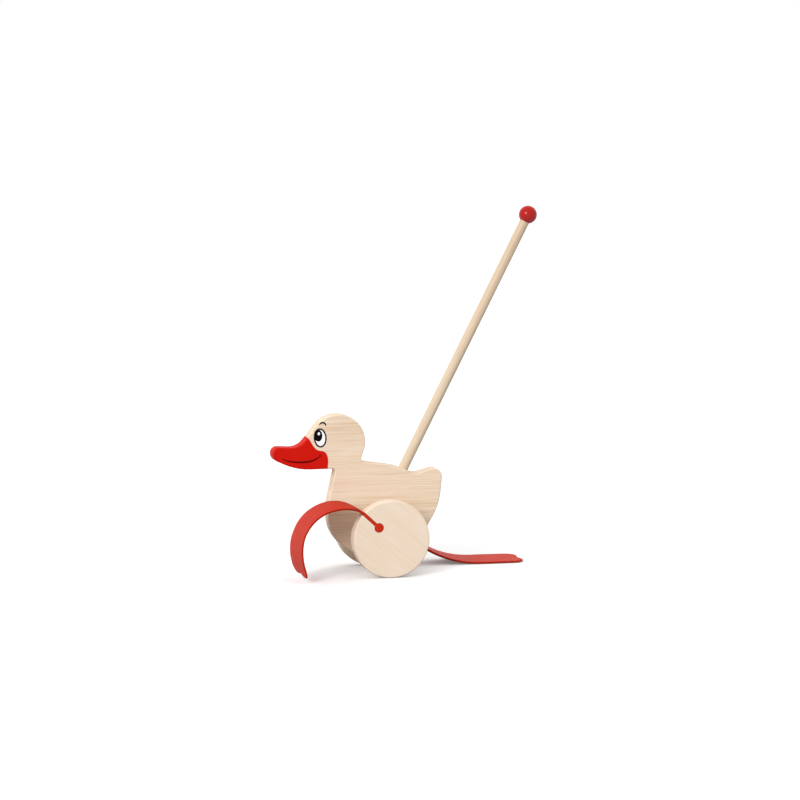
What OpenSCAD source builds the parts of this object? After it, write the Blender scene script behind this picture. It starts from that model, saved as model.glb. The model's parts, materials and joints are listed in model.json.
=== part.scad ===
// Push-along duck with flapping feet: a sawn board duck on two wheels that turn with
// one axle, a soft rubber foot held in a keyhole slot of each wheel, and a push stick.
// Millimetres. The duck faces -X, its left side is -Y, and the floor is z = 0.

/* [Wheels] */
// Diameter of each wheel
wheel_d = 110; // [90:1:130]
// Thickness of each wheel
wheel_t = 20; // [14:1:28]
// Rounding of the wheel's rim edges
wheel_edge = 2; // [1:0.5:5]
// Distance between the wheels' outer faces
track = 136; // [128:1:166]

/* [Axle] */
// Diameter of the axle dowel
axle_d = 10; // [8:1:14]
// Depth of the axle's blind seat in each wheel
axle_seat = 14; // [10:1:16]
// Radial running clearance of the axle in the body
axle_play = 0.08; // [0.02:0.01:0.1]
// Radial glue gap round a dowel in its seat
glue_gap = 0.05; // [0.02:0.01:0.1]
// Outside diameter of the spacer sleeves on the axle
spacer_d = 22; // [18:1:28]
// End play between each spacer sleeve and the body
side_play = 0.5; // [0.3:0.1:1]

/* [Body] */
// Thickness of the sawn board
body_t = 25; // [20:1:32]
// Rounding of the board's edges
body_edge = 2; // [1:0.5:4]
// Radius of the head
head_r = 39.5; // [35:0.5:43]
// Head centre ahead of the axle
head_ahead = 65; // [61:0.5:68]
// Head centre above the axle
head_up = 133; // [127:0.5:140]
// Beak tip ahead of the axle
beak_reach = 159; // [152:0.5:167]
// Beak underside above the axle
beak_up = 95.5; // [93:0.5:98]
// Height of the beak at its bridge
beak_deep = 30.5; // [28:0.5:33]
// Length of the beak's rising underside
chin_len = 34; // [29:1:39]
// Throat ahead of the axle
throat_ahead = 68; // [64:0.5:71]
// Breast ahead of the axle
breast_ahead = 80; // [77:0.5:84]
// Belly line below the axle
belly_drop = 35; // [29:0.5:38]
// Tail tip behind the axle
tail_reach = 88.5; // [85:0.5:95]
// Tail tip above the axle
tail_up = 96; // [93:0.5:100]
// Dip between back and tail, above the axle
dip_up = 84.5; // [81:0.5:87]
// Nape ahead of the axle
nape_ahead = 33; // [30:0.5:36]
// Nape above the axle
nape_up = 104.5; // [102:0.5:107]

/* [Stick] */
// Diameter of the push stick
stick_d = 14; // [10:1:18]
// Lean of the stick from upright, towards the tail
stick_lean = 27; // [24:0.5:30]
// Stick length from the foot of its socket to the shoulder under the ball
stick_len = 439; // [380:1:520]
// Foot of the stick's socket behind the axle
socket_x = 11; // [6:1:15]
// Foot of the stick's socket above the axle
socket_up = 50; // [44:1:56]
// Diameter of the tenon that holds the ball
tenon_d = 8; // [6:0.5:10]
// Length of the tenon
tenon_len = 14; // [10:1:16]

/* [Ball] */
// Diameter of the ball knob
ball_d = 26; // [23:1:40]
// Spare depth below the tenon in the ball
ball_spare = 1; // [0.5:0.5:2]

/* [Feet] */
// Length of a foot from the wheel's rim to the tips of its toes
foot_len = 176; // [150:1:177]
// Width of a foot across the toes
toe_w = 74; // [64:1:80]
// Width of a foot across the heel
heel_w = 52; // [40:1:56]
// Distance from the rim at which the heel is at its width
heel_at = 30; // [20:1:40]
// Distance from the rim at which the toes are at their width
toes_at = 125; // [100:1:140]
// Thickness of a foot at the rim
root_t = 4.4; // [3.5:0.1:5]
// Thickness of a foot at the toes
toe_t = 3.4; // [2.5:0.1:4]
// Depth of the notch between the two toes
toe_notch = 3; // [2:0.5:8]
// How far the outer corners of the toes are rounded back
toe_round = 15; // [8:1:20]
// Diameter of the bead that holds a foot in its wheel
bead_d = 13; // [10:0.5:14]
// Distance of the bead from the axle
bead_ring = 25; // [22:0.5:30]
// Gap between a foot and the walls of its keyhole slot
slot_gap = 0.3; // [0.2:0.05:0.5]
// Direction of the left wheel's slot, in degrees up from the tail end
left_slot = 137; // [130:1:144]
// Direction of the right wheel's slot, in degrees up from the tail end
right_slot = -22; // [-27:1:-16]

/* [Hidden] */

$fn = 96;
arc_step = 6;      // largest turn between two outline points, in degrees
edge_steps = 4;    // steps round the board's edge
foot_rows = 36;    // rows of points along a foot
foot_cols = 12;    // strips across a foot
edge_thin = 0.15;   // share of its thickness that a foot loses at its edges
cut = 1;           // overshoot of a cut past the face it opens

wheel_r = wheel_d / 2;
wheel_y = track / 2 - wheel_t / 2;
inner_face = track / 2 - wheel_t;
axle_len = 2 * (inner_face + axle_seat);
spacer_len = inner_face - body_t / 2 - side_play;

ball_r = ball_d / 2;
ball_flat = sqrt(pow(ball_r, 2) - pow(stick_d / 2 + glue_gap, 2));
stick_dir = [sin(stick_lean), cos(stick_lean)];
socket = [socket_x, socket_up];
ball_at = socket + (stick_len + ball_flat) * stick_dir;

// The origin is under the middle of the whole toy, and the axle lies ahead of it.
axle_x = (beak_reach - ball_at[0] - ball_r) / 2;
axle_z = wheel_r;

board_red = "#c8201a";
board_wood = "#e9d3b4";
dowel_wood = "#ead6ba";
wheel_wood = "#ecdcc6";

// Corners of the duck's side view from the axle, each with its rounding radius and its
// name. They run anticlockwise as seen from the duck's left, from the back of the head.
head_back = head_r - head_ahead;
head_top = head_up + head_r;
brow_turn = 52;
brow = [-head_ahead - head_r * tan(brow_turn / 2), head_top];
beak_top = beak_up + beak_deep;
bridge = brow - (head_top - beak_top) * [1 / tan(brow_turn), 1];
beak_end = beak_up + beak_deep / 2;
duck_corners = [
    [head_back, head_top, head_r, "crown"],
    [brow[0], brow[1], head_r, "brow"],
    [bridge[0], bridge[1], 25, "bridge"],
    [-beak_reach, beak_top + 2, 9, "beak tip"],
    [-beak_reach, beak_end, 10, "beak end"],
    [chin_len - beak_reach, beak_up - 0.5, 90, "chin"],
    [-throat_ahead, beak_up, 5, "throat"],
    [1 - breast_ahead, beak_up / 2, 60, "breast"],
    [-breast_ahead, 0, 53, "keel"],
    [-30, -belly_drop, 45, "front of the belly"],
    [40, -belly_drop, 50, "back of the belly"],
    [tail_reach - 5.5, 40, 90, "rump"],
    [tail_reach, tail_up, 12, "tail"],
    [48, dip_up, 20, "dip"],
    [19, (dip_up + nape_up) / 2 + 2.5, 90, "back"],
    [-nape_ahead, nape_up, 5, "nape"],
    [head_back, head_up - 6, 20, "back of the head"]
];
body_hub = [0, beak_up / 2];
head_hub = [-head_ahead, (head_up + beak_up) / 2];

function unit(v) = v / norm(v);
function turn_between(a, b) = atan2(a[0] * b[1] - a[1] * b[0], a * b);

// One rounded corner as a list of [point, outward normal], by its tangent arc.
function corner_arc(before, at, after) =
    let (
        p = [at[0], at[1]],
        into = unit(p - [before[0], before[1]]),
        out = unit([after[0], after[1]] - p),
        turn = turn_between(into, out),
        side = sign(turn),
        start = p - into * at[2] * tan(abs(turn) / 2),
        centre = start + side * at[2] * [-into[1], into[0]],
        steps = ceil(abs(turn) / arc_step),
        first = atan2(start[1] - centre[1], start[0] - centre[0])
    )
    [for (i = [0 : steps])
        let (a = first + turn * i / steps, ray = [cos(a), sin(a)])
        [centre + at[2] * ray, side * ray]];

function rounded_corners(corners) =
    let (n = len(corners))
    [for (i = [0 : n - 1])
        corner_arc(corners[(i + n - 1) % n], corners[i], corners[(i + 1) % n])];

// Index, in the joined outline, of the middle point of a named corner's arc.
function corner_number(name) = search([name], duck_corners, 1, 3)[0];
function first_of(arcs, k) = k == 0 ? 0 : first_of(arcs, k - 1) + len(arcs[k - 1]);
function middle_of(arcs, name) =
    let (k = corner_number(name)) first_of(arcs, k) + floor(len(arcs[k]) / 2);

// The duck's board, upright in XZ, with rounded edges. Its flat sides are two fans of
// triangles, one round a hub in the body and one round a hub in the head, which meet
// on a line across the neck.
module duck_board(arcs, thick, edge) {
    outline = [for (arc = arcs) each arc];
    n = len(outline);
    rings = 2 * (edge_steps + 1);
    function ring_angle(k) = k <= edge_steps
        ? 90 - 90 * k / edge_steps
        : -90 * (k - edge_steps - 1) / edge_steps;
    rim = [for (k = [0 : rings - 1])
        let (
            a = ring_angle(k),
            inset = edge * (1 - cos(a)),
            y = (k <= edge_steps ? -1 : 1) * (thick / 2 - edge) - edge * sin(a)
        )
        for (p = outline)
            let (q = p[0] - inset * p[1]) [q[0], y, q[1]]];
    hubs = [for (y = [-thick / 2, thick / 2], hub = [body_hub, head_hub]) [hub[0], y, hub[1]]];
    walls = [for (k = [0 : rings - 2], i = [0 : n - 1])
        let (j = (i + 1) % n)
        each [
            [k * n + i, (k + 1) * n + i, k * n + j],
            [k * n + j, (k + 1) * n + i, (k + 1) * n + j]
        ]];
    throat = middle_of(arcs, "throat");
    nape = middle_of(arcs, "nape");
    loops = [
        [for (i = [throat : nape]) i],
        [for (i = [nape : n + throat]) i % n]
    ];
    far = (rings - 1) * n;
    sides = [for (h = [0, 1], i = [0 : len(loops[h]) - 1])
        let (a = loops[h][i], b = loops[h][(i + 1) % len(loops[h])])
        each [[rings * n + h, b, a], [rings * n + 2 + h, far + a, far + b]]];
    polyhedron(concat(rim, hubs), concat(walls, sides), convexity = 10);
}

// Puts a child drawn in the side view, x to the tail and y up, on the axle's line.
module on_axle(y = 0) {
    translate([axle_x, y, axle_z]) rotate([90, 0, 0]) children();
}

// Puts a child drawn up its own Z axis on the stick's line, at a distance along it.
module on_stick(along) {
    at = socket + along * stick_dir;
    translate([axle_x + at[0], 0, axle_z + at[1]]) rotate([0, stick_lean, 0]) children();
}

module duck_body() {
    color(board_wood)
    difference() {
        translate([axle_x, 0, axle_z])
            duck_board(rounded_corners(duck_corners), body_t, body_edge);
        on_axle()
            cylinder(h = body_t + 2 * cut, r = axle_d / 2 + axle_play, center = true);
        on_stick(0)
            cylinder(h = stick_len, r = stick_d / 2 + glue_gap);
    }
}

module push_stick() {
    color(dowel_wood)
    on_stick(0) {
        cylinder(h = stick_len, d = stick_d);
        cylinder(h = stick_len + tenon_len, d = tenon_d);
    }
}

// A turned ball, faced off flat where the stick's shoulder meets it.
module ball_knob() {
    bore_len = tenon_len + ball_spare;
    color(board_red)
    on_stick(stick_len)
    difference() {
        translate([0, 0, ball_flat]) sphere(r = ball_r);
        translate([0, 0, -ball_r]) cylinder(h = ball_r, r = ball_r);
        translate([0, 0, -cut]) cylinder(h = bore_len + cut, r = tenon_d / 2 + glue_gap);
    }
}

module axle() {
    color(dowel_wood)
    on_axle() cylinder(h = axle_len, d = axle_d, center = true);
}

// Half section of a wheel, with both rim edges rounded.
module wheel_section() {
    half = wheel_t / 2;
    translate([0, -half]) square([wheel_r - wheel_edge, wheel_t]);
    translate([0, wheel_edge - half]) square([wheel_r, wheel_t - 2 * wheel_edge]);
    for (s = [-1, 1])
        translate([wheel_r - wheel_edge, s * (half - wheel_edge)]) circle(r = wheel_edge);
}

// A wheel with a blind axle seat in its inner face and a keyhole slot for its foot.
module wheel(side, slot) {
    slot_t = root_t + 2 * slot_gap;
    through = wheel_t + 2 * cut;
    color(wheel_wood)
    on_axle(side * wheel_y)
    difference() {
        rotate_extrude() wheel_section();
        translate([0, 0, side * (wheel_t - axle_seat + cut) / 2])
            cylinder(h = axle_seat + cut, r = axle_d / 2 + glue_gap, center = true);
        rotate(slot) {
            translate([bead_ring, 0, 0])
                cylinder(h = through, r = bead_d / 2 + slot_gap, center = true);
            translate([bead_ring, -slot_t / 2, -through / 2])
                cube([wheel_r, slot_t, through]);
        }
    }
}

module left_wheel() { wheel(-1, left_slot); }
module right_wheel() { wheel(1, right_slot); }

// A turned sleeve that keeps the wheel clear of the body.
module spacer(side) {
    color(dowel_wood)
    on_axle(side * (inner_face - spacer_len / 2))
    difference() {
        cylinder(h = spacer_len, d = spacer_d, center = true);
        cylinder(h = spacer_len + 2 * cut, r = axle_d / 2 + glue_gap, center = true);
    }
}

module left_spacer() { spacer(-1); }
module right_spacer() { spacer(1); }

// Place and heading at a distance along a chain of [length, turn] arcs.
function along(arcs, s, p, heading, i = 0) =
    let (
        last = i == len(arcs) - 1,
        d = last ? s : min(s, arcs[i][0]),
        bend = arcs[i][1] / arcs[i][0],
        end = heading + bend * d,
        step = abs(bend) < 0.0001
            ? d * [cos(heading), sin(heading)]
            : [sin(end) - sin(heading), cos(heading) - cos(end)] * 180 / PI / bend
    )
    last || s <= arcs[i][0] ? [p + step, end] : along(arcs, s - arcs[i][0], p + step, end, i + 1);

function smooth(t) = let (c = min(1, max(0, t))) c * c * (3 - 2 * c);
function mix(a, b, t) = a + (b - a) * t;

// Half the foot's width at a distance s from the rim.
stem_w = wheel_t - 2 * slot_gap;
tuck = 0.2;        // how far the flap's root lies inside the end of the stem
function half_width(s) =
    mix(stem_w / 2 - tuck, heel_w / 2, smooth(s / heel_at))
    + (toe_w - heel_w) / 2 * smooth((s - heel_at) / (toes_at - heel_at));

// Length of the strand at t, from -1 at one edge to 1 at the other: two round toes.
function strand(t) =
    foot_len - toe_notch * (1 + cos(360 * t)) / 2 - toe_round * (1 - sqrt(1 - pow(t, 6)));

// Gain in height along an arc of length l that turns from heading a to heading b.
function rise(l, a, b) = l * 180 / PI / (b - a) * (cos(a) - cos(b));

// The left foot stands out of its slot and arches over, down to the floor ahead.
rise_len = 26;
arch_len = 98;
fall_len = 50;
left_arcs = [[rise_len, 34], [arch_len, 97], [fall_len, 36]];

// The right foot droops behind the wheel and then lies along the floor.
droop = 6;
droop_len = 25;
settle_len = 70;
dip = right_slot - droop;
right_start = axle_z + wheel_r * sin(right_slot) - (root_t / 2 - tuck) * cos(right_slot);
right_run = (right_start + rise(droop_len, right_slot, dip) + rise(settle_len, dip, 0)) / -sin(dip);
right_arcs = [[droop_len, -droop], [right_run, 0], [settle_len, -dip], [foot_len, 0]];

// Share of its moulded length that a foot's sole keeps in the bend: the middle of the
// thickness keeps its length, and a sole on the inside of the bend is shorter.
function sole_share(arcs, sole) =
    let (turn = [for (arc = arcs) arc[1]] * [for (arc = arcs) 1])
    1 - sole * (root_t + toe_t) / 4 * turn * PI / 180 / foot_len;

// A moulded foot: a bead and stem in the keyhole, and a webbed flap that follows arcs.
// The arcs draw its sole, which lies to the left of their heading when sole is 1.
module foot(side, slot, arcs, sole) {
    mouth = wheel_r * [cos(slot), sin(slot)];
    start = mouth + sole * (root_t / 2 - tuck) * [-sin(slot), cos(slot)];
    kept = sole_share(arcs, sole);
    ring = 2 * (foot_cols + 1);
    points = [for (i = [0 : foot_rows], m = [0 : ring - 1])
        let (
            on_top = m > foot_cols,
            j = on_top ? ring - 1 - m : m,
            t = -1 + 2 * j / foot_cols,
            s = kept * strand(t) * i / foot_rows,
            here = along(arcs, s, start, slot),
            thick = mix(root_t - 2 * tuck, toe_t, s / foot_len) * (1 - edge_thin * pow(t, 8)),
            up = sole * [sin(here[1]), -cos(here[1])],
            p = here[0] + (on_top ? thick : 0) * up
        )
        [p[0], p[1], -sole * half_width(s) * t]];
    walls = [for (i = [0 : foot_rows - 1], m = [0 : ring - 1])
        let (a = i * ring + m, b = i * ring + (m + 1) % ring)
        each [[a, b, a + ring], [b, b + ring, a + ring]]];
    tip = foot_rows * ring;
    ends = [for (j = [0 : foot_cols - 1])
        let (k = ring - 1 - j)
        each [
            [j, k, j + 1], [j + 1, k, k - 1],
            [tip + j, tip + j + 1, tip + k], [tip + j + 1, tip + k - 1, tip + k]
        ]];
    color(board_red)
    on_axle(side * wheel_y) {
        rotate(slot) {
            translate([bead_ring, 0, 0]) cylinder(h = stem_w, d = bead_d, center = true);
            translate([bead_ring, -root_t / 2, -stem_w / 2])
                cube([wheel_r + cut - bead_ring, root_t, stem_w]);
        }
        polyhedron(points, concat(walls, ends), convexity = 8);
    }
}

module left_foot() { foot(-1, left_slot, left_arcs, 1); }
module right_foot() { foot(1, right_slot, right_arcs, -1); }

duck_body();
push_stick();
ball_knob();
axle();
left_wheel();
right_wheel();
left_spacer();
right_spacer();
left_foot();
right_foot();
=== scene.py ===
# %% [markdown]
# # A push-along duck with flapping rubber feet
#
# The toy is a duck sawn from one thick board. It rolls on two wooden wheels that turn
# together on one axle, and a child pushes it by a long stick with a ball on top. Each wheel
# holds a soft rubber foot in a slot, which slaps the floor once in every turn.
#
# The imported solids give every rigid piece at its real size, so they are loaded first and
# stay where they are. This lesson adds what they lack: wood, paint, print and soft rubber.

import json
import math

import bmesh
import bpy
import numpy as np
from mathutils import Matrix, Vector


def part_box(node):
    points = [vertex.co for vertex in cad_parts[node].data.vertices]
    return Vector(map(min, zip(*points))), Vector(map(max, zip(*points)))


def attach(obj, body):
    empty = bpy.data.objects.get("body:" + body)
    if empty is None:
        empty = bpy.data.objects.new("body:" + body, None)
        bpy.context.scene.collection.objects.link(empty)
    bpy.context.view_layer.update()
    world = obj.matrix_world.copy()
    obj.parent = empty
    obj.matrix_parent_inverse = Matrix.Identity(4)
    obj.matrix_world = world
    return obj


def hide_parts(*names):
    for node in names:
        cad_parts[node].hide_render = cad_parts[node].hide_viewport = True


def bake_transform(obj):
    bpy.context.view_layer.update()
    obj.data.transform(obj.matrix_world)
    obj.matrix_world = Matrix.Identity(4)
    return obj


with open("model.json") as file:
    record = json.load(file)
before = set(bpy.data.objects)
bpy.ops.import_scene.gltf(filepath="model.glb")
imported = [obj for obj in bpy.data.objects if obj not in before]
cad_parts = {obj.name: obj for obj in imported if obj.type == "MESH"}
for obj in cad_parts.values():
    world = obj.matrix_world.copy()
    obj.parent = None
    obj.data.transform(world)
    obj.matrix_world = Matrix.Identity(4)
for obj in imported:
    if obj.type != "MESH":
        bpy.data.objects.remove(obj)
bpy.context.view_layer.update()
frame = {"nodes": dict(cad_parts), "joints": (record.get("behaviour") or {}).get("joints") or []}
MM = 0.001

scene = bpy.context.scene
nodes = frame["nodes"]
joints = {joint["name"]: joint for joint in frame["joints"]}
axle = Vector(joints["wheel_roll"]["pos_m"])
print("pieces loaded:", sorted(nodes))

# %% [markdown]
# ## The camera
#
# A product photograph like this is taken from far away with a long lens, so nothing leans.
# The near wheel gives the view: it is a slightly narrow ellipse, which tells how far the
# camera stands round the toy, and the far foot's height in the picture tells how far above
# the floor it is. The near wheel's hub is then pinned to its place in the picture.

# %% Camera
IMAGE_SIZE = 800
HUB_PIXEL = (391.9, 539.5)
PIXELS_PER_METRE = 710.0
CAMERA_DISTANCE = 5.0
TURN_ROUND, LOOK_DOWN = math.radians(13.3), math.radians(6.4)

to_right = Vector((math.cos(TURN_ROUND), -math.sin(TURN_ROUND), 0))
to_camera = Vector((
    -math.sin(TURN_ROUND) * math.cos(LOOK_DOWN),
    -math.cos(TURN_ROUND) * math.cos(LOOK_DOWN),
    math.sin(LOOK_DOWN),
))
to_top = to_camera.cross(to_right)

wheel_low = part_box("left_wheel")[0]
hub = Vector((axle.x, wheel_low.y, axle.z))
aim = (
    hub
    + to_right * (IMAGE_SIZE / 2 - HUB_PIXEL[0]) / PIXELS_PER_METRE
    + to_top * (HUB_PIXEL[1] - IMAGE_SIZE / 2) / PIXELS_PER_METRE
)

camera = bpy.data.objects.new("camera", bpy.data.cameras.new("camera"))
scene.collection.objects.link(camera)
camera_turn = Matrix((to_right, to_top, to_camera)).transposed().to_4x4()
camera.matrix_world = Matrix.Translation(aim + to_camera * CAMERA_DISTANCE) @ camera_turn
focal_pixels = PIXELS_PER_METRE * CAMERA_DISTANCE
camera.data.lens = camera.data.sensor_width * focal_pixels / IMAGE_SIZE
scene.camera = camera
print("lens, mm:", round(camera.data.lens, 1))

# %% [markdown]
# ## Small helpers for node trees
#
# Every material here is a small graph. A few helpers keep the graphs readable: they add a
# node with its settings, do a sum on a value, map one range to another, blend two colours or
# values, and scale a noise. Most give an output socket, so that one call feeds the next.


# %% Node helpers
def add_node(tree, kind, inputs=None, **settings):
    """Adds a node, sets its properties, and sets or links each named or numbered input."""
    made = tree.nodes.new(kind)
    for name, value in settings.items():
        setattr(made, name, value)
    for name, value in (inputs or {}).items():
        if isinstance(value, bpy.types.NodeSocket):
            tree.links.new(value, made.inputs[name])
        else:
            made.inputs[name].default_value = value
    return made


def sum_of(tree, operation, first, second=0.0, third=0.0):
    """One Math node: the named operation on up to three values."""
    return add_node(
        tree, "ShaderNodeMath", {0: first, 1: second, 2: third}, operation=operation
    ).outputs[0]


def ramp(tree, value, low, high, to_low=0.0, to_high=1.0, way="LINEAR"):
    """A value that goes from to_low at low to to_high at high, and no further."""
    return add_node(
        tree,
        "ShaderNodeMapRange",
        {"Value": value, 1: low, 2: high, 3: to_low, 4: to_high},
        interpolation_type=way,
    ).outputs["Result"]


def fade(tree, value, low, high, to_low=0.0, to_high=1.0):
    """A ramp that starts and ends softly."""
    return ramp(tree, value, low, high, to_low, to_high, "SMOOTHSTEP")


def blend_colours(tree, share, first, second):
    """The colour that is first where share is 0 and second where it is 1."""
    return add_node(
        tree, "ShaderNodeMix", {0: share, 6: first, 7: second}, data_type="RGBA"
    ).outputs[2]


def blend_values(tree, share, first, second):
    """The value that is first where share is 0 and second where it is 1."""
    return add_node(tree, "ShaderNodeMix", {0: share, 2: first, 3: second}).outputs[0]


def noise(tree, place, stretch, detail, roughness=0.55, distortion=0.0):
    """Noise from 0 to 1 over a place in metres, with stretch features to the metre."""
    scaled = add_node(
        tree, "ShaderNodeVectorMath", {0: place, 1: stretch}, operation="MULTIPLY"
    ).outputs[0]
    return add_node(
        tree,
        "ShaderNodeTexNoise",
        {
            "Vector": scaled,
            "Scale": 1.0,
            "Detail": detail,
            "Roughness": roughness,
            "Distortion": distortion,
        },
    ).outputs["Fac"]


# %% Colours
def seen(red, green, blue):
    """A colour as it looks on a screen, from 0 to 255, turned into light for the shaders: a
    straight line near black, and a power of 2.4 above it."""
    shares = np.array((red, green, blue)) / 255
    light = np.where(shares <= 0.04045, shares / 12.92, ((shares + 0.055) / 1.055) ** 2.4)
    return (*light.tolist(), 1.0)


def grey(level):
    """A neutral colour that gives back this share of the light."""
    return (level, level, level, 1.0)


print("middle grey of a screen, as light:", round(seen(128, 128, 128)[0], 3))

# %% [markdown]
# ## Floor and light
#
# The toy stands on white, with a soft shadow that falls to the right and back. One broad sun
# from the front left gives that shadow and lights the sides that face it. A soft sky fills
# the rest, and it is weaker behind the toy, so that round pieces get a dark side. A very
# broad fill keeps the toy's back from going dull. The white itself comes from the floor and
# the sky as the camera sees them, so that no extra light has to fall on the toy.

# %% Sun and fill
scene.view_settings.view_transform = "Standard"

SKY_BEHIND, SKY_BEFORE = 0.5, 0.98
SUN_STRENGTH, SUN_SPREAD = 1.8, math.radians(22)
SUN_FROM = Vector((-0.64, -0.7, 0.42)).normalized()
FILL_STRENGTH, FILL_SPREAD = 0.75, math.radians(110)
FILL_FROM = Vector((0.25, 0.9, 0.35)).normalized()


def seen_directly(tree):
    """1 for a ray from the camera, a mirror or a glass, and 0 for light on its way."""
    path = add_node(tree, "ShaderNodeLightPath")
    mirrored = sum_of(
        tree, "MAXIMUM", path.outputs["Is Glossy Ray"], path.outputs["Is Transmission Ray"]
    )
    return sum_of(tree, "MAXIMUM", path.outputs["Is Camera Ray"], mirrored)


def add_sun(name, strength, spread, comes_from):
    """A sun lamp of the given strength and spread, shining from a direction."""
    lamp = bpy.data.objects.new(name, bpy.data.lights.new(name, "SUN"))
    scene.collection.objects.link(lamp)
    lamp.data.energy = strength
    lamp.data.angle = spread
    lamp.rotation_euler = comes_from.to_track_quat("Z", "Y").to_euler()


add_sun("front_sun", SUN_STRENGTH, SUN_SPREAD, SUN_FROM)
add_sun("back_fill", FILL_STRENGTH, FILL_SPREAD, FILL_FROM)
print("sun from", [round(x, 2) for x in SUN_FROM])

# %% Sky
world = bpy.data.worlds.new("white_studio")
scene.world = world
world.use_nodes = True
sky = world.node_tree
sky.nodes.clear()
direction = add_node(sky, "ShaderNodeTexCoord").outputs["Generated"]
towards = add_node(
    sky, "ShaderNodeVectorMath", {0: direction, 1: SUN_FROM}, operation="DOT_PRODUCT"
).outputs["Value"]
soft_light = ramp(sky, towards, -1.0, 1.0, SKY_BEHIND, SKY_BEFORE)
sky_level = blend_values(sky, seen_directly(sky), soft_light, 1.0)
background = add_node(sky, "ShaderNodeBackground", {"Color": grey(1.0), "Strength": sky_level})
add_node(sky, "ShaderNodeOutputWorld", {"Surface": background.outputs[0]})
print("sky nodes:", len(sky.nodes))

# %% Floor
# What the floor gives back to the toy, and how white the camera sees it, with a faint glow.
FLOOR_BOUNCE = 0.32
FLOOR_SEEN, FLOOR_GLOW = 0.94, 0.14
FLOOR_HALF, FLOOR_DROP = 30.0, 0.2 * MM

floor_mesh = bpy.data.meshes.new("floor")
floor_corners = [(-1, -1), (1, -1), (1, 1), (-1, 1)]
floor_mesh.from_pydata(
    [(x * FLOOR_HALF, y * FLOOR_HALF, -FLOOR_DROP) for x, y in floor_corners], [], [(0, 1, 2, 3)]
)
floor = bpy.data.objects.new("floor", floor_mesh)
scene.collection.objects.link(floor)


def white_floor():
    """Dull white for light that bounces, and brighter where the camera looks at it."""
    material = bpy.data.materials.new("white_floor")
    material.use_nodes = True
    tree = material.node_tree
    tree.nodes.clear()
    bounced = add_node(tree, "ShaderNodeBsdfDiffuse", {"Color": grey(FLOOR_BOUNCE)})
    shaded = add_node(tree, "ShaderNodeBsdfDiffuse", {"Color": grey(FLOOR_SEEN)})
    glow = add_node(tree, "ShaderNodeEmission", {"Color": grey(1.0), "Strength": FLOOR_GLOW})
    pictured = add_node(tree, "ShaderNodeAddShader", {0: shaded.outputs[0], 1: glow.outputs[0]})
    either = add_node(
        tree,
        "ShaderNodeMixShader",
        {0: seen_directly(tree), 1: bounced.outputs[0], 2: pictured.outputs[0]},
    )
    add_node(tree, "ShaderNodeOutputMaterial", {"Surface": either.outputs[0]})
    return material


floor_mesh.materials.append(white_floor())
print("floor, m:", 2 * FLOOR_HALF, "square")

# %% [markdown]
# ## Pale beech, as a group
#
# The board, the wheels and the dowels are the same pale timber, cut along different lines. A
# picture of wood would have to be unwrapped onto each piece, and its grain would break off at
# the edges. Noise fills the whole solid, so the grain runs through it as in real wood. The
# timber is one node group, and each material only turns it to its own grain. Growth rings are
# noise that is stretched along the grain, and a thin line runs where one year ends. Fibres
# are the same, much finer, and beech also has short dark flecks. The group puts out a colour,
# a roughness and a height.


# %% Empty group
def new_group(name, inputs, outputs):
    """An empty shader group with named sockets, its input node and its output node."""
    group = bpy.data.node_groups.new(name, "ShaderNodeTree")
    for way, sockets in (("INPUT", inputs), ("OUTPUT", outputs)):
        for label, kind in sockets:
            group.interface.new_socket(label, in_out=way, socket_type="NodeSocket" + kind)
    return group, group.nodes.new("NodeGroupInput"), group.nodes.new("NodeGroupOutput")


# %% Timber group
# For each effect: features to the metre along the grain and both ways across it, the levels
# between which it fades in or out, and how far it darkens the wood.
RING_STRETCH, RING_FADE, RING_DARK = (0.9, 60.0, 250.0), (0.34, 0.7), 0.22
LINE_STRETCH, LINE_FADE, LINE_DARK = (0.7, 30.0, 230.0), (0.0, 0.045), 0.4
FIBRE_STRETCH, FIBRE_FADE, FIBRE_DARK = (30.0, 500.0, 900.0), (0.3, 0.7), 0.26
FLECK_STRETCH, FLECK_FADE, FLECK_DARK = (14.0, 300.0, 700.0), (0.6, 0.72), 0.24
DRIFT_STRETCH, DRIFT_FADE, DRIFT_DARK = (6.0, 11.0, 24.0), (0.3, 0.7), 0.26
NOISE_MIDDLE = 0.5
FLECK_DEPTH = 0.6
PALE_ROUGHNESS, DARK_ROUGHNESS = 0.42, 0.56


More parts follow.
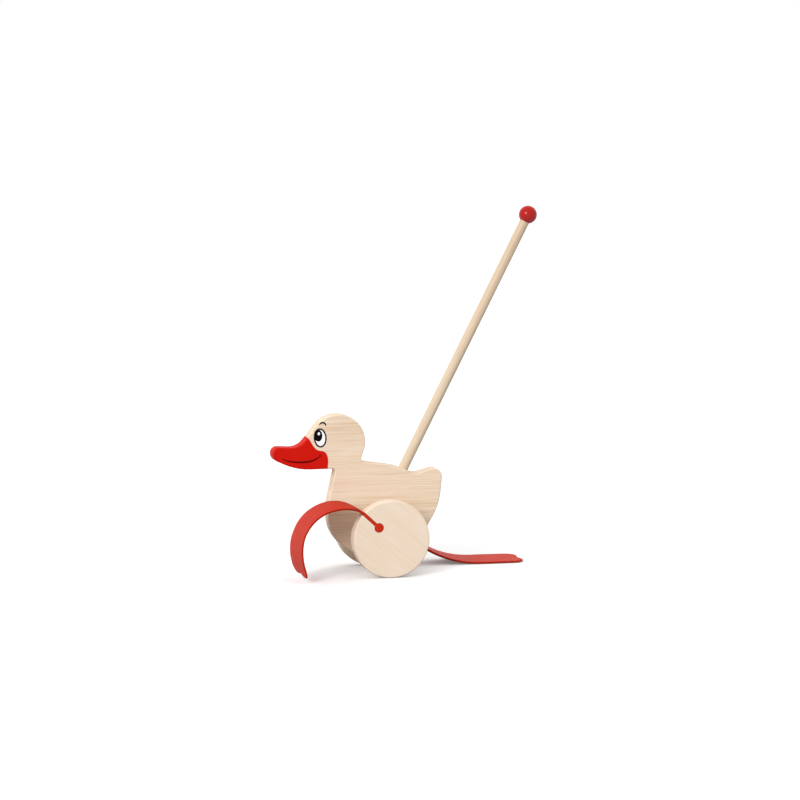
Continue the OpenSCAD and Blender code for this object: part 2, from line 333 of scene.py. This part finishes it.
def timber_group():
    """Pale timber whose grain runs along x: broad rings, thin growth lines where a noise
    crosses its middle, fibres, sunken flecks and a slow drift of tone, added up."""
    group, given, made = new_group(
        "pale_timber",
        [("Place", "Vector"), ("Pale", "Color"), ("Dark", "Color")],
        [("Colour", "Color"), ("Roughness", "Float"), ("Height", "Float")],
    )
    place = given.outputs["Place"]
    ring_noise = noise(group, place, RING_STRETCH, 4.0, roughness=0.6, distortion=0.1)
    rings = fade(group, ring_noise, *RING_FADE)
    line_noise = noise(group, place, LINE_STRETCH, 2.0, roughness=0.5, distortion=0.05)
    off_middle = sum_of(group, "SUBTRACT", line_noise, NOISE_MIDDLE)
    off_middle = sum_of(group, "ABSOLUTE", off_middle)
    lines = fade(group, off_middle, *LINE_FADE, to_low=1.0, to_high=0.0)
    fibres = fade(group, noise(group, place, FIBRE_STRETCH, 2.0), *FIBRE_FADE)
    flecks = fade(group, noise(group, place, FLECK_STRETCH, 1.0), *FLECK_FADE)
    drift = fade(group, noise(group, place, DRIFT_STRETCH, 1.0), *DRIFT_FADE)
    share = sum_of(group, "MULTIPLY", fibres, FIBRE_DARK)
    share = sum_of(group, "MULTIPLY_ADD", rings, RING_DARK, share)
    share = sum_of(group, "MULTIPLY_ADD", drift, DRIFT_DARK, share)
    share = sum_of(group, "MULTIPLY_ADD", lines, LINE_DARK, share)
    share = sum_of(group, "MULTIPLY_ADD", flecks, FLECK_DARK, share)
    colour = blend_colours(group, share, given.outputs["Pale"], given.outputs["Dark"])
    roughness = fade(group, share, 0.0, 1.0, PALE_ROUGHNESS, DARK_ROUGHNESS)
    height = sum_of(group, "MULTIPLY_ADD", flecks, -FLECK_DEPTH, fibres)
    group.links.new(colour, made.inputs["Colour"])
    group.links.new(roughness, made.inputs["Roughness"])
    group.links.new(height, made.inputs["Height"])
    return group


timber = timber_group()
print("group made:", timber.name, "with", len(timber.nodes), "nodes")

# %% [markdown]
# ## A soft skin for paint, lacquer and rubber
#
# Lacquer is never quite level and moulded rubber is never quite even, and one flat colour
# would make both look like plastic. A second group gives all the red finishes, and the inks,
# a faint waviness and small changes of tone and gloss, each at its own grain size.

# %% Skin group
# Size of the broad noise against the fine one, and how far each changes tone or roughness.
BROAD_STRETCH, FINE_STRETCH = (0.06, 0.06, 0.06), (1.0, 1.0, 1.0)
BROAD_FADE, BROAD_TONE = (0.35, 0.7), 0.5
FINE_TONE, FINE_ROUGHNESS = 0.25, 0.08


def skin_group():
    """A coloured skin: noise changes its tone and its gloss a little and lifts it in waves."""
    group, given, made = new_group(
        "soft_skin",
        [("Place", "Vector"), ("Colour", "Color"), ("Deep", "Color"), ("Roughness", "Float"),
         ("Grains per metre", "Float")],
        [("Colour", "Color"), ("Roughness", "Float"), ("Height", "Float")],
    )
    scaled = add_node(
        group,
        "ShaderNodeVectorMath",
        {0: given.outputs["Place"], "Scale": given.outputs["Grains per metre"]},
        operation="SCALE",
    ).outputs[0]
    broad = noise(group, scaled, BROAD_STRETCH, 2.0)
    fine = noise(group, scaled, FINE_STRETCH, 2.0)
    share = fade(group, broad, *BROAD_FADE, to_high=BROAD_TONE)
    share = sum_of(group, "MULTIPLY_ADD", fine, FINE_TONE, share)
    colour = blend_colours(group, share, given.outputs["Colour"], given.outputs["Deep"])
    roughness = sum_of(group, "MULTIPLY_ADD", fine, FINE_ROUGHNESS, given.outputs["Roughness"])
    group.links.new(colour, made.inputs["Colour"])
    group.links.new(roughness, made.inputs["Roughness"])
    group.links.new(fine, made.inputs["Height"])
    return group


skin = skin_group()
print("group made:", skin.name, "with", len(skin.nodes), "nodes")

# %% [markdown]
# ## Finishes
#
# On the toy the wood is waxed, the ball is lacquered, the feet are bare rubber and the face
# is ink. Each could have a graph of its own, but finishes that share a group stay alike and
# are easy to change together. So each is one Principled shader fed by a group. A Mapping
# node turns the wood so that its grain runs the way the piece was cut: along the board,
# across each wheel at its own slant, and down the length of a dowel.


# %% Finish helpers
def new_material(name):
    """A material with a Principled shader, its tree, and the shader."""
    material = bpy.data.materials.new(name)
    material.use_nodes = True
    tree = material.node_tree
    tree.nodes.clear()
    shader = add_node(tree, "ShaderNodeBsdfPrincipled")
    add_node(tree, "ShaderNodeOutputMaterial", {"Surface": shader.outputs[0]})
    return material, tree, shader


def object_place(tree, turn=(0.0, 0.0, 0.0), shift=(0.0, 0.0, 0.0)):
    """Object coordinates in metres, turned so that x runs along the grain."""
    place = add_node(tree, "ShaderNodeTexCoord").outputs["Object"]
    return add_node(
        tree, "ShaderNodeMapping", {"Vector": place, "Rotation": turn, "Location": shift}
    ).outputs[0]


def place_group(tree, group, inputs):
    """Adds a group to a tree, with its named inputs set or linked, and gives its outputs."""
    return add_node(tree, "ShaderNodeGroup", inputs, node_tree=group).outputs


def finish_with(tree, shader, colour, roughness, height, depth):
    """Joins a colour, a roughness and a bump of the given depth to the shader."""
    bump = add_node(tree, "ShaderNodeBump", {"Height": height, "Distance": depth})
    tree.links.new(colour, shader.inputs["Base Color"])
    tree.links.new(roughness, shader.inputs["Roughness"])
    tree.links.new(bump.outputs[0], shader.inputs["Normal"])


# %% Bare wood
WOOD_PALE, WOOD_DARK = seen(242, 224, 203), seen(219, 191, 160)
WHEEL_PALE, WHEEL_DARK = seen(242, 224, 204), seen(229, 205, 181)
DOWEL_PALE, DOWEL_DARK = seen(220, 201, 176), seen(200, 174, 145)
WOOD_BUMP, WOOD_SHEEN = 0.05 * MM, 0.16
STICK_LEAN = math.radians(27)
# Slant of each wheel's grain, and the place in the plank where the wheel was cut, in metres.
NEAR_SLANT, NEAR_CUT = math.radians(-40), (0.3, 0.1, 0.2)
FAR_SLANT, FAR_CUT = math.radians(35), (0.7, 0.4, 0.1)


def wood(name, turn, pale, dark, shift=(0.0, 0.0, 0.0)):
    """Waxed timber with its grain turned by the given angles."""
    material, tree, shader = new_material(name)
    grain = place_group(
        tree, timber, {"Place": object_place(tree, turn, shift), "Pale": pale, "Dark": dark}
    )
    finish_with(tree, shader, grain["Colour"], grain["Roughness"], grain["Height"], WOOD_BUMP)
    shader.inputs["Specular IOR Level"].default_value = WOOD_SHEEN
    return material


dowel_wood = wood("dowel_wood", (0, math.pi / 2 - STICK_LEAN, 0), DOWEL_PALE, DOWEL_DARK)
cross_wood = wood("cross_wood", (0, 0, math.pi / 2), DOWEL_PALE, DOWEL_DARK)
near_wheel_wood = wood("near_wheel_wood", (0, NEAR_SLANT, 0), WHEEL_PALE, WHEEL_DARK, NEAR_CUT)
far_wheel_wood = wood("far_wheel_wood", (0, FAR_SLANT, 0), WHEEL_PALE, WHEEL_DARK, FAR_CUT)
print("slant of the wheels' grain, degrees:", round(math.degrees(NEAR_SLANT)),
      "and", round(math.degrees(FAR_SLANT)))

# %% Lacquer, rubber and inks
SKIN_BUMP = 0.02 * MM
COAT_ROUGHNESS = 0.15


def skin_finish(name, colour, deep, roughness=0.5, grains=900.0, sheen=0.04, coat=0.0):
    """A lacquer, rubber or ink with its colours, grain size, sheen and clear coat."""
    material, tree, shader = new_material(name)
    surface = place_group(tree, skin, {
        "Place": object_place(tree), "Colour": colour, "Deep": deep, "Roughness": roughness,
        "Grains per metre": grains,
    })
    finish_with(
        tree, shader, surface["Colour"], surface["Roughness"], surface["Height"], SKIN_BUMP
    )
    shader.inputs["Specular IOR Level"].default_value = sheen
    shader.inputs["Coat Weight"].default_value = coat
    shader.inputs["Coat Roughness"].default_value = COAT_ROUGHNESS
    return material


lacquer = skin_finish(
    "red_lacquer", seen(180, 13, 3), seen(160, 7, 2), roughness=0.3, grains=300, sheen=0.02, coat=0.5
)
rubber = skin_finish("red_rubber", seen(199, 50, 26), seen(184, 39, 19), sheen=0.06)
black_ink = skin_finish("black_ink", seen(8, 7, 7), seen(5, 4, 4))
white_ink = skin_finish(
    "white_ink", seen(252, 252, 252), seen(244, 244, 246), roughness=0.4, sheen=0.1
)
brown_ink = skin_finish("brown_ink", seen(44, 22, 12), seen(34, 16, 9))
smile_ink = skin_finish("smile_ink", seen(92, 4, 5), seen(78, 3, 4))
skins = (lacquer, rubber, black_ink, white_ink, brown_ink, smile_ink)
print("finishes with a skin:", [finish.name for finish in skins])

# %% [markdown]
# ## The board and its painted beak
#
# The beak is dipped or masked and sprayed, so the paint goes right round the board's edge.
# Separate geometry would need a seam there. A mask in the material has none: a curve gives,
# for each height, how far back the paint reaches, and the wood ahead of it is red.

# %% Edge of the paint
# Height above the floor, and place along the toy from the axle, less than 0 ahead, in mm.
PAINT_EDGE_POINTS = [
    (148, -80.5), (154, -80), (161, -79.5), (166, -80), (170, -81), (174, -83.5), (176, -87),
    (176.8, -91), (178.5, -96), (182, -99.5), (187, -103), (192, -106), (197, -110), (204, -117),
]
PAINT_LOW, PAINT_HIGH = PAINT_EDGE_POINTS[0][0] * MM, PAINT_EDGE_POINTS[-1][0] * MM
PAINT_FRONT, PAINT_BACK = -130.0 * MM, -60.0 * MM
PAINT_BLUR = 0.25 * MM


def share_between(value, low, high):
    """How far a value lies from low to high, from 0 to 1."""
    return (value - low) / (high - low)


def paint_mask(tree):
    """1 ahead of the paint's edge and 0 behind it, the same all through the board."""
    place = add_node(tree, "ShaderNodeTexCoord").outputs["Object"]
    parts = add_node(tree, "ShaderNodeSeparateXYZ", {0: place})
    height = ramp(tree, parts.outputs["Z"], PAINT_LOW, PAINT_HIGH)
    edge = add_node(tree, "ShaderNodeFloatCurve", {"Value": height})
    line = edge.mapping.curves[0]
    spots = [
        (
            share_between(z * MM, PAINT_LOW, PAINT_HIGH),
            share_between(x * MM, PAINT_FRONT, PAINT_BACK),
        )
        for z, x in PAINT_EDGE_POINTS
    ]
    line.points[0].location = spots[0]
    line.points[1].location = spots[-1]
    for spot in spots[1:-1]:
        line.points.new(*spot)
    edge.mapping.update()
    reach = ramp(tree, edge.outputs[0], 0.0, 1.0, axle.x + PAINT_FRONT, axle.x + PAINT_BACK)
    ahead = sum_of(tree, "SUBTRACT", reach, parts.outputs["X"])
    return fade(tree, ahead, -PAINT_BLUR, PAINT_BLUR)


# %% Painted board
BEAK_RED, BEAK_DEEP = seen(205, 25, 12), seen(196, 18, 8)
PAINT_ROUGHNESS, PAINT_GRAINS = 0.5, 500.0
PAINT_STEP, PAINT_SHEEN = 0.12 * MM, 0.05


def painted_board():
    """Timber with its grain along the board, red over the beak."""
    material, tree, shader = new_material("painted_board")
    grain = place_group(
        tree, timber, {"Place": object_place(tree), "Pale": WOOD_PALE, "Dark": WOOD_DARK}
    )
    paint = place_group(tree, skin, {
        "Place": object_place(tree), "Colour": BEAK_RED, "Deep": BEAK_DEEP,
        "Roughness": PAINT_ROUGHNESS, "Grains per metre": PAINT_GRAINS,
    })
    mask = paint_mask(tree)
    colour = blend_colours(tree, mask, grain["Colour"], paint["Colour"])
    roughness = blend_values(tree, mask, grain["Roughness"], paint["Roughness"])
    film = sum_of(tree, "MULTIPLY_ADD", mask, PAINT_STEP / WOOD_BUMP, grain["Height"])
    finish_with(tree, shader, colour, roughness, film, WOOD_BUMP)
    shader.inputs["Specular IOR Level"].default_value = PAINT_SHEEN
    return material


board = painted_board()
print("paint edge given by", len(PAINT_EDGE_POINTS), "points")

# %% [markdown]
# ## Dress the solids
#
# The rigid solids come in as loose triangles. Welding joins them, an edge split keeps real
# corners sharp, and weighted normals let the flat sides stay flat beside their rounded edges.
# Modifiers do this better than edits would, because the solids' own meshes stay as they were loaded.

# %% Dress the solids
WELD_GAP = 0.002 * MM
SHARP_ANGLE = math.radians(32)
finishes = {
    "duck_body": board,
    "push_stick": dowel_wood,
    "ball_knob": lacquer,
    "axle": cross_wood,
    "left_spacer": cross_wood,
    "right_spacer": cross_wood,
    "left_wheel": near_wheel_wood,
    "right_wheel": far_wheel_wood,
}


def dress(name, material):
    """Gives a solid its finish and smooth normals, and leaves its mesh as it is."""
    solid = nodes[name]
    solid.data.materials.clear()
    solid.data.materials.append(material)
    solid.data.polygons.foreach_set("use_smooth", np.ones(len(solid.data.polygons), bool))
    weld = solid.modifiers.new("weld", "WELD")
    weld.merge_threshold = WELD_GAP
    split = solid.modifiers.new("corners", "EDGE_SPLIT")
    split.split_angle = SHARP_ANGLE
    solid.modifiers.new("flat_sides", "WEIGHTED_NORMAL")


for name, material in finishes.items():
    dress(name, material)
print("solids dressed:", len(finishes))

# %% [markdown]
# ## Surfaces from arrays
#
# A new piece is a grid of points, worked out in one go: rows run along the piece and columns
# run round it. One helper turns such a grid into a closed mesh. Where a row shrinks to a
# line or a point, its doubled corners are merged, so the piece is sealed.

# %% Grid to mesh
MERGE_GAP = 0.0005 * MM


def ring_mesh(name, points, material, wrap_rows=False):
    """A mesh from points[row, column]; columns close on themselves, and rows if asked."""
    rows, columns = points.shape[:2]
    number = np.arange(rows * columns).reshape(rows, columns)
    after = np.roll(number, -1, axis=0) if wrap_rows else number[1:]
    before = number if wrap_rows else number[:-1]
    quads = np.stack(
        [before, np.roll(before, -1, axis=1), np.roll(after, -1, axis=1), after], axis=-1
    ).reshape(-1, 4)
    mesh = bpy.data.meshes.new(name)
    mesh.from_pydata(points.reshape(-1, 3), [], quads)
    form = bmesh.new()
    form.from_mesh(mesh)
    bmesh.ops.remove_doubles(form, verts=form.verts, dist=MERGE_GAP)
    bmesh.ops.dissolve_degenerate(form, edges=form.edges, dist=MERGE_GAP)
    bmesh.ops.recalc_face_normals(form, faces=form.faces)
    form.to_mesh(mesh)
    form.free()
    mesh.polygons.foreach_set("use_smooth", np.ones(len(mesh.polygons), bool))
    mesh.materials.append(material)
    piece = bpy.data.objects.new(name, mesh)
    scene.collection.objects.link(piece)
    return piece


# %% [markdown]
# ## The rubber feet
#
# Each foot is one moulding. A round bead sits in the wheel, a flat stem fills the slot, and
# outside the rim the stem flares into a webbed flap with two round toes. Its side view is a
# line that bends in a few arcs, as rubber does under its own weight. So the foot is a
# rounded strip carried along that line: its thickness follows a circle at the bead, stays
# even along the stem, and thins towards the toes. Its sides slant in towards the sole, and
# it is rolled a little on its way, because soft rubber never hangs quite straight. Modifiers
# could bend and twist a flat strip, but here one formula gives each toe its length as well.

# %% Foot sizes
# All in mm. The places of the heel and the toes are measured from the wheel's rim.
FOOT_LENGTH = 176.0
TOE_WIDTH, TOES_AT = 74.0, 125.0
HEEL_WIDTH, HEEL_AT = 52.0, 30.0
STEM_WIDTH, STEM_THICK = 19.4, 4.4
ROOT_THICK, TOE_THICK = 4.0, 3.4
TOE_NOTCH, TOE_ROUND, TOE_POWER = 3.0, 15.0, 6
EDGE_THIN, EDGE_POWER = 0.15, 8
EDGE_ROUND, SIDE_DRAFT = 1.0, 3.2
BEAD_RADIUS, BEAD_RING = 6.5, 25.0
FLAP_ROWS, TIP_ROWS, BEAD_ROWS, STEM_ROWS, ACROSS, CORNER = 110, 8, 20, 8, 28, 5
wheel_radius = axle.z / MM
print("flap, mm:", FOOT_LENGTH, "long,", TOE_WIDTH, "wide, on a wheel of", round(wheel_radius, 1))


# %% Bending line of a foot
def smooth(share):
    """0 before 0, 1 after 1, and an even S between."""
    share = np.clip(share, 0, 1)
    return share * share * (3 - 2 * share)


def arc_rise(length, start, end):
    """Gain in height along an arc of that length that turns from one heading to another."""
    return length * (math.cos(start) - math.cos(end)) / (end - start)


def follow(arcs, distance, heading):
    """Place and heading along a chain of (length, turn) arcs: each adds the chord of the
    part of it that is passed, and the last goes on for ever. Before 0 the way is straight."""
    ahead = np.minimum(distance, 0)
    x, z = math.cos(heading) * ahead, math.sin(heading) * ahead
    turned = np.full(distance.shape, heading)
    passed = 0.0
    for number, (length, turn) in enumerate(arcs):
        last = number == len(arcs) - 1
        run = np.clip(distance - passed, 0, np.inf if last else length)
        bend = turn / length
        end = heading + bend * run
        if bend:
            x = x + (np.sin(end) - math.sin(heading)) / bend
            z = z + (math.cos(heading) - np.cos(end)) / bend
        else:
            x = x + math.cos(heading) * run
            z = z + math.sin(heading) * run
        turned = turned + bend * run
        heading += turn
        passed += length
    return np.stack([x, z]), turned


# %% Section of a foot
def strip_section():
    """Columns round a strip: share across, which way out a corner points, up or down along
    the corner's quarter circle, and the upper or lower half."""
    run = np.linspace(-1, 1, ACROSS)
    quarter = np.linspace(0, np.pi / 2, CORNER)
    side, rise = np.cos(quarter), np.sin(quarter)
    zero, one, full = np.zeros(ACROSS), np.ones(ACROSS), np.ones(CORNER)
    across = np.concatenate([run, full, full, run[::-1], -full, -full])
    outward = np.concatenate([zero, side[::-1], side, zero, -side[::-1], -side])
    upward = np.concatenate([one, rise[::-1], -rise, -one, -rise[::-1], rise])
    half = np.concatenate([one, full, -full, -one, -full, full])
    return across, outward, upward, half


def half_width_at(distance):
    """Half the width: even along the stem, then an S out to the heel and one to the toes."""
    heel = (HEEL_WIDTH - STEM_WIDTH) / 2 * smooth(distance / HEEL_AT)
    toes = (TOE_WIDTH - HEEL_WIDTH) / 2 * smooth((distance - HEEL_AT) / (TOES_AT - HEEL_AT))
    return STEM_WIDTH / 2 + heel + toes


# %% Rows of a foot
def seated_rows(across):
    """Distance from the rim, less than 0, and half thickness of the rows inside the wheel:
    by equal angles round the bead's circle, then evenly along the stem."""
    neck = math.asin(STEM_THICK / 2 / BEAD_RADIUS)
    spin = np.linspace(0, np.pi - neck, BEAD_ROWS)
    bead = BEAD_RING - wheel_radius - BEAD_RADIUS * np.cos(spin)
    stem = np.linspace(bead[-1], 0, STEM_ROWS + 2)[1:-1]
    half_thick = np.concatenate([BEAD_RADIUS * np.sin(spin), np.full(STEM_ROWS, STEM_THICK / 2)])
    return np.concatenate([bead, stem])[:, None] + 0 * across, half_thick[:, None] + 0 * across


def flap_rows(across, kept, taken):
    """Distance from the rim, and half thickness before and after the tip is closed, of the
    rows outside the wheel.

    Each strand has its own length: the foot's, less a cosine notch between the toes and a
    rounding at the sides, times the share that the bend keeps, less what the roll takes, which
    changes evenly from side to side. The thickness tapers, and closes as a half circle."""
    strand = kept * (
        FOOT_LENGTH
        - TOE_NOTCH * (1 + np.cos(2 * np.pi * across)) / 2
        - TOE_ROUND * (1 - np.sqrt(1 - np.abs(across) ** TOE_POWER))
    ) - np.interp(across, (-1, 1), taken)
    tip = np.linspace(0, np.pi / 2, TIP_ROWS + 1)[1:]
    flap = np.linspace(0, 1, FLAP_ROWS)[:, None] * (strand - TOE_THICK / 2)
    end = strand - TOE_THICK / 2 + TOE_THICK / 2 * np.sin(tip)[:, None]
    distance = np.concatenate([flap, end])
    thick = ROOT_THICK + (TOE_THICK - ROOT_THICK) * distance / FOOT_LENGTH
    close = np.concatenate([np.ones(FLAP_ROWS), np.cos(tip)])[:, None]
    return distance, thick / 2, thick / 2 * close


# %% Grid of a foot
def foot_points(slot, arcs, sole, roll_steps, taken):
    """Grid of a foot from the axle, in mm: x to the tail, y across, z up.

    The sole follows the arcs from the slot's mouth, on the left of the way if sole is 1 and on
    the right if it is -1. The middle of the thickness keeps its length in a bend, so the sole
    is shorter by half the thickness times the turn. Sides get thinner and slant in towards the
    sole. A roll step is a distance, how far the +y side stands above the other there at the
    toes' width, and how far the strip is lifted. The roll also takes some length from the -y
    and the +y side."""
    across, outward, upward, half = strip_section()
    turn = sum(arc[1] for arc in arcs)
    kept = 1 - sole * (STEM_THICK + TOE_THICK) / 4 * turn / FOOT_LENGTH
    seated, seated_half = seated_rows(across)
    reach, middle, flap_half = flap_rows(across, kept, taken)
    distance = np.concatenate([seated, reach])
    lift = np.concatenate([np.full_like(seated, ROOT_THICK / 2), middle])
    half_thick = np.concatenate([seated_half, flap_half])
    half_thick *= np.where(distance > 0, 1 - EDGE_THIN * np.abs(across) ** EDGE_POWER, 1)

    corner = np.minimum(EDGE_ROUND, half_thick)
    draft = SIDE_DRAFT * smooth(distance / HEEL_AT) * (1 - upward) / 2
    sideways = across * (half_width_at(distance) - corner - draft) + outward * corner
    where, roll, rise = np.array(roll_steps).T
    out = half * (half_thick - corner) + upward * corner
    out = out + np.interp(distance, where, roll) * sideways / TOE_WIDTH
    out = out + np.interp(distance, where, rise)

    start = wheel_radius * np.array([math.cos(slot), math.sin(slot)])
    start += sole * ROOT_THICK / 2 * np.array([-math.sin(slot), math.cos(slot)])
    line, heading = follow(arcs, distance, slot)
    up = sole * np.stack([np.sin(heading), -np.cos(heading)])
    side_view = start[:, None, None] + line + up * (lift + out)
    return np.stack([side_view[0], sideways, side_view[1]], axis=-1)


# %% Way of each foot
# Arcs are a length in mm and a turn. The arched foot's are chosen, and the lying foot's are
# worked out, so that its sole comes down level on the floor.
LEFT_ARCS = [(26, math.radians(34)), (98, math.radians(97)), (50, math.radians(36))]
LEFT_ROLL = [(0, 0, 0), (15, 4, -1), (45, 8, -1), (105, 1, 0.5), (176, 5, 2.5)]
LEFT_TAKEN = (3, 10)
RIGHT_ROLL = [(0, 0, 0), (35, 4, 1), (110, 0, 0)]
DROOP, DROOP_LENGTH, SETTLE_LENGTH = math.radians(6), 25, 70


def slot_angle(joint):
    """Direction of a wheel's slot in the side view, from the axle to the slot's mouth."""
    mouth = Vector(joints[joint]["pos_m"])
    return math.atan2(mouth.z - axle.z, mouth.x - axle.x)


def lying_arcs(slot):
    """Arcs that droop, run straight down, and turn level: the straight run falls by what the
    sole's height at the slot leaves when the two bends have had their share."""
    dip = slot - DROOP
    fall = axle.z / MM + wheel_radius * math.sin(slot) - ROOT_THICK / 2 * math.cos(slot)
    fall += arc_rise(DROOP_LENGTH, slot, dip)
    fall += arc_rise(SETTLE_LENGTH, dip, 0)
    straight = fall / -math.sin(dip)
    return [(DROOP_LENGTH, -DROOP), (straight, 0), (SETTLE_LENGTH, -dip), (FOOT_LENGTH, 0)]


right_arcs = lying_arcs(slot_angle("right_foot_bend"))
print("straight run of the lying foot, mm:", round(right_arcs[1][0], 1))


def rubber_foot(name, joint, arcs, sole, roll_steps, taken=(0, 0)):
    """One foot in its wheel, with its stem in the slot, bending into its flap."""
    points = foot_points(slot_angle(joint), arcs, sole, roll_steps, taken) * MM
    mouth = Vector(joints[joint]["pos_m"])
    points += np.array((axle.x, mouth.y, axle.z))
    foot = ring_mesh(name + "_rubber", points, rubber)
    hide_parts(name)
    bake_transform(foot)
    low, high = points.reshape(-1, 3).min(0), points.reshape(-1, 3).max(0)
    print(name, "from", np.round(low / MM, 1), "to", np.round(high / MM, 1))


rubber_foot("left_foot", "left_foot_bend", LEFT_ARCS, 1, LEFT_ROLL, LEFT_TAKEN)
rubber_foot("right_foot", "right_foot_bend", right_arcs, -1, RIGHT_ROLL)

# %% [markdown]
# ## The printed face
#
# Eye, brow and smile are pad-printed on both sides of the head: thin films of ink with crisp
# edges. A texture would blur them, so each is a very flat lens or stroke of ink that stands
# about a tenth of a millimetre or less off the wood.

# %% Ink shapes
# In mm: half the thickness of a film of ink, and how far all of them are sunk.
INK, FILM_SINK = 0.05, 0.02
DISC_RINGS, DISC_SPOKES, STROKE_ROWS, STROKE_COLUMNS = 10, 72, 64, 12
DISC_POWER, TAPER_POWER = 0.25, 0.6
body_low, body_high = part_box("duck_body")
board_half = (body_high.y - body_low.y) / 2 / MM
print("half the board's thickness, mm:", round(board_half, 2))


def on_board(flat, lift, side):
    """Side-view points, from the axle across and from the floor up, on one face of the board."""
    x = axle.x + flat[..., 0] * MM
    y = side * (board_half + lift) * MM
    return np.stack([x, np.broadcast_to(y, x.shape), flat[..., 1] * MM], axis=-1)


def oval(centre, half_size, tilt, radius=1.0):
    """Side-view points of an oval that leans by tilt degrees: its half sizes times the cosine
    and the sine of even angles, shrunk by radius and turned."""
    angle = np.linspace(0, 2 * np.pi, DISC_SPOKES, endpoint=False)
    u = half_size[0] * radius * np.cos(angle)
    v = half_size[1] * radius * np.sin(angle)
    lean = math.radians(tilt)
    return np.stack([
        centre[0] + u * math.cos(lean) + v * math.sin(lean),
        centre[1] - u * math.sin(lean) + v * math.cos(lean),
    ], axis=-1)


def ink_disc(name, centre, half_size, tilt, layer, material, side):
    """An oval lens of ink: rings shrink to the middle on top and below, like a lens."""
    spread = np.linspace(0, np.pi, DISC_RINGS)[:, None]
    flat = oval(centre, half_size, tilt, np.sin(spread) ** DISC_POWER)
    lift = layer * INK - FILM_SINK + INK * np.cos(spread) + np.zeros(DISC_SPOKES)
    piece = ring_mesh(name, on_board(flat, lift, side), material)
    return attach(piece, "duck")


def ink_stroke(name, line, half_width, layer, material, side, closed=False):
    """A stroke of ink: a flat oval section carried along a line, square to its direction."""
    along = np.roll(line, -1, 0) - np.roll(line, 1, 0) if closed else np.gradient(line, axis=0)
    along /= np.linalg.norm(along, axis=1, keepdims=True)
    square = np.stack([-along[:, 1], along[:, 0]], axis=-1)
    section = np.linspace(0, 2 * np.pi, STROKE_COLUMNS, endpoint=False)
    reach = half_width[:, None] * np.cos(section)
    flat = line[:, None] + reach[..., None] * square[:, None]
    lift = layer * INK - FILM_SINK + INK * np.sin(section) * (half_width[:, None] > 0)
    piece = ring_mesh(name, on_board(flat, lift, side), material, wrap_rows=closed)
    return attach(piece, "duck")


# %% Lines through given spots
def curve_through(spots):
    """A smooth line through given spots: a cubic between each two, with the slope at a spot set by
    its neighbours."""
    spots = np.array(spots, float)
    slope = np.gradient(spots, axis=0)
    where = np.linspace(0, len(spots) - 1, STROKE_ROWS)
    first = np.minimum(where.astype(int), len(spots) - 2)
    t = (where - first)[:, None]
    return (
        (2 * t**3 - 3 * t**2 + 1) * spots[first]
        + (t**3 - 2 * t**2 + t) * slope[first]
        + (3 * t**2 - 2 * t**3) * spots[first + 1]
        + (t**3 - t**2) * slope[first + 1]
    )


def taper(widest, ends):
    """Half widths along a stroke: thin ends and a full middle, and nothing at the very ends."""
    t = np.linspace(0, 1, STROKE_ROWS)
    width = ends + (widest - ends) * np.sin(np.pi * t) ** TAPER_POWER
    width[[0, -1]] = 0
    return width


# %% Eye, brow and smile
# Places from the axle across and from the floor up, and half sizes, in mm; tilt in degrees.
EYE, EYE_HALF, EYE_TILT, EYE_LINE = (-91.0, 195.0), (8.2, 12.6), -5.0, 1.15
PUPIL, PUPIL_HALF = (-94.0, 198.5), (6.1, 8.6)
GLINT, GLINT_HALF, GLINT_TILT = (-93.0, 201.0), (1.8, 2.2), 0.0
BROW = [(-92.5, 213.5), (-90, 216), (-87, 216.7), (-84, 215), (-82.5, 211.5)]
SMILE = [
    (-147, 167.5), (-140, 164.2), (-132, 162.2), (-123, 161.2), (-114, 161.2), (-105.5, 162),
    (-99, 164), (-94, 167), (-90.5, 169.5),
]
SMILE_TICK = [(-93.3, 171.5), (-91.3, 170), (-89, 168.5)]
BROW_WIDE, SMILE_WIDE, TICK_WIDE, STROKE_END = 1.35, 1.35, 0.7, 0.25
# How high the middle of each film lies, in half thicknesses, before it is sunk.
FIRST_LAYER, LINE_LAYER, PUPIL_LAYER, GLINT_LAYER = 0.2, 0.7, 0.9, 1.6


def face(label, side):
    """All the ink of one side of the head, as a list of pieces."""
    ring = oval(EYE, EYE_HALF, EYE_TILT)
    ring_width = np.full(DISC_SPOKES, EYE_LINE)
    pieces = [
        ink_disc(label + "_eye_white", EYE, EYE_HALF, EYE_TILT, FIRST_LAYER, white_ink, side),
        ink_stroke(label + "_eye_line", ring, ring_width, LINE_LAYER, black_ink, side, closed=True),
        ink_disc(label + "_pupil", PUPIL, PUPIL_HALF, EYE_TILT, PUPIL_LAYER, black_ink, side),
        ink_disc(label + "_glint", GLINT, GLINT_HALF, GLINT_TILT, GLINT_LAYER, white_ink, side),
    ]
    for name, spots, widest, ink in (
        ("_brow", BROW, BROW_WIDE, brown_ink),
        ("_smile", SMILE, SMILE_WIDE, smile_ink),
        ("_smile_corner", SMILE_TICK, TICK_WIDE, smile_ink),
    ):
        width = taper(widest, STROKE_END)
        pieces.append(ink_stroke(label + name, curve_through(spots), width, FIRST_LAYER, ink, side))
    return pieces


print("ink pieces:", len(face("left", -1) + face("right", 1)))
